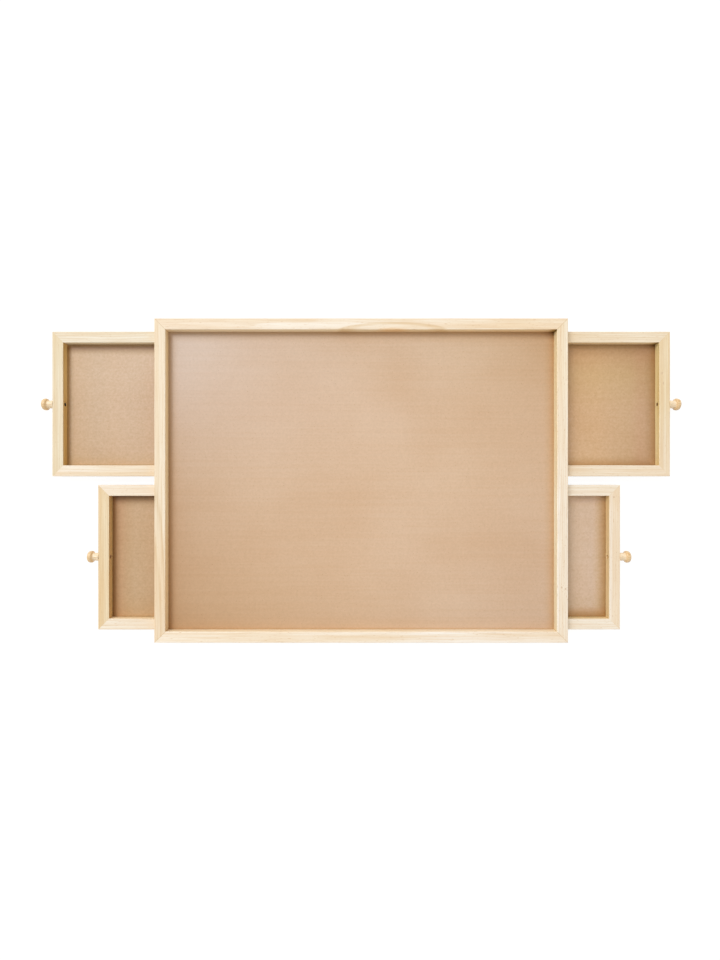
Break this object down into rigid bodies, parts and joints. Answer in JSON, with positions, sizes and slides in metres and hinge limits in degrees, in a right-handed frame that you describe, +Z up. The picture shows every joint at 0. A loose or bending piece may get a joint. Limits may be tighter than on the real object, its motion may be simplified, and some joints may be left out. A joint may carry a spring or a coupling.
{
  "type": "jigsaw puzzle table with drawers",
  "caption": "Low wooden puzzle table: a mitred frame round a sunken work surface, with sliding storage drawers with turned knobs at both ends.",
  "frame": {"origin": "on the ground, below the middle of the frame", "axes": "+X along the long side towards the right-hand drawers, +Y to the rear long side, +Z up"},
  "size_m": [1.405, 0.697, 0.051],
  "materials": {
    "pine": "smooth sanded, unfinished",
    "turned_wood": "turned and sanded",
    "hardboard": "smooth, slightly polished on its upper face",
    "steel": "zinc plated"
  },
  "bodies": {
    "table": {"frame_rail_rear": "pine", "frame_rail_front": "pine", "frame_rail_right": "pine", "frame_rail_left": "pine", "work_surface": "hardboard", "centre_spine": "pine", "cross_beam_rear": "pine", "cross_beam_front": "pine", "runner_rear": "pine", "runner_front": "pine", "runner_centre": "pine", "frame_brads": "steel", "surface_pins": "steel", "runner_screws": "steel"},
    "drawer_rear_left": {"drawer_rear_left_front": "pine", "drawer_rear_left_back": "pine", "drawer_rear_left_side_outer": "pine", "drawer_rear_left_side_inner": "pine", "drawer_rear_left_bottom": "hardboard", "drawer_rear_left_knob": "turned_wood", "drawer_rear_left_knob_screw": "steel", "drawer_rear_left_brads": "steel"},
    "drawer_front_left": {"drawer_front_left_front": "pine", "drawer_front_left_back": "pine", "drawer_front_left_side_outer": "pine", "drawer_front_left_side_inner": "pine", "drawer_front_left_bottom": "hardboard", "drawer_front_left_knob": "turned_wood", "drawer_front_left_knob_screw": "steel", "drawer_front_left_brads": "steel"},
    "drawer_rear_right": {"drawer_rear_right_front": "pine", "drawer_rear_right_back": "pine", "drawer_rear_right_side_outer": "pine", "drawer_rear_right_side_inner": "pine", "drawer_rear_right_bottom": "hardboard", "drawer_rear_right_knob": "turned_wood", "drawer_rear_right_knob_screw": "steel", "drawer_rear_right_brads": "steel"},
    "drawer_front_right": {"drawer_front_right_front": "pine", "drawer_front_right_back": "pine", "drawer_front_right_side_outer": "pine", "drawer_front_right_side_inner": "pine", "drawer_front_right_bottom": "hardboard", "drawer_front_right_knob": "turned_wood", "drawer_front_right_knob_screw": "steel", "drawer_front_right_brads": "steel"}
  },
  "joints": [
    {"name": "slide_rear_left", "type": "slide", "parent": "table", "child": "drawer_rear_left", "axis": [-1, 0, 0], "range_m": [-0.2325, 0.0875]},
    {"name": "slide_front_left", "type": "slide", "parent": "table", "child": "drawer_front_left", "axis": [-1, 0, 0], "range_m": [-0.132, 0.188]},
    {"name": "slide_rear_right", "type": "slide", "parent": "table", "child": "drawer_rear_right", "axis": [1, 0, 0], "range_m": [-0.2325, 0.0875]},
    {"name": "slide_front_right", "type": "slide", "parent": "table", "child": "drawer_front_right", "axis": [1, 0, 0], "range_m": [-0.123, 0.197]}
  ]
}
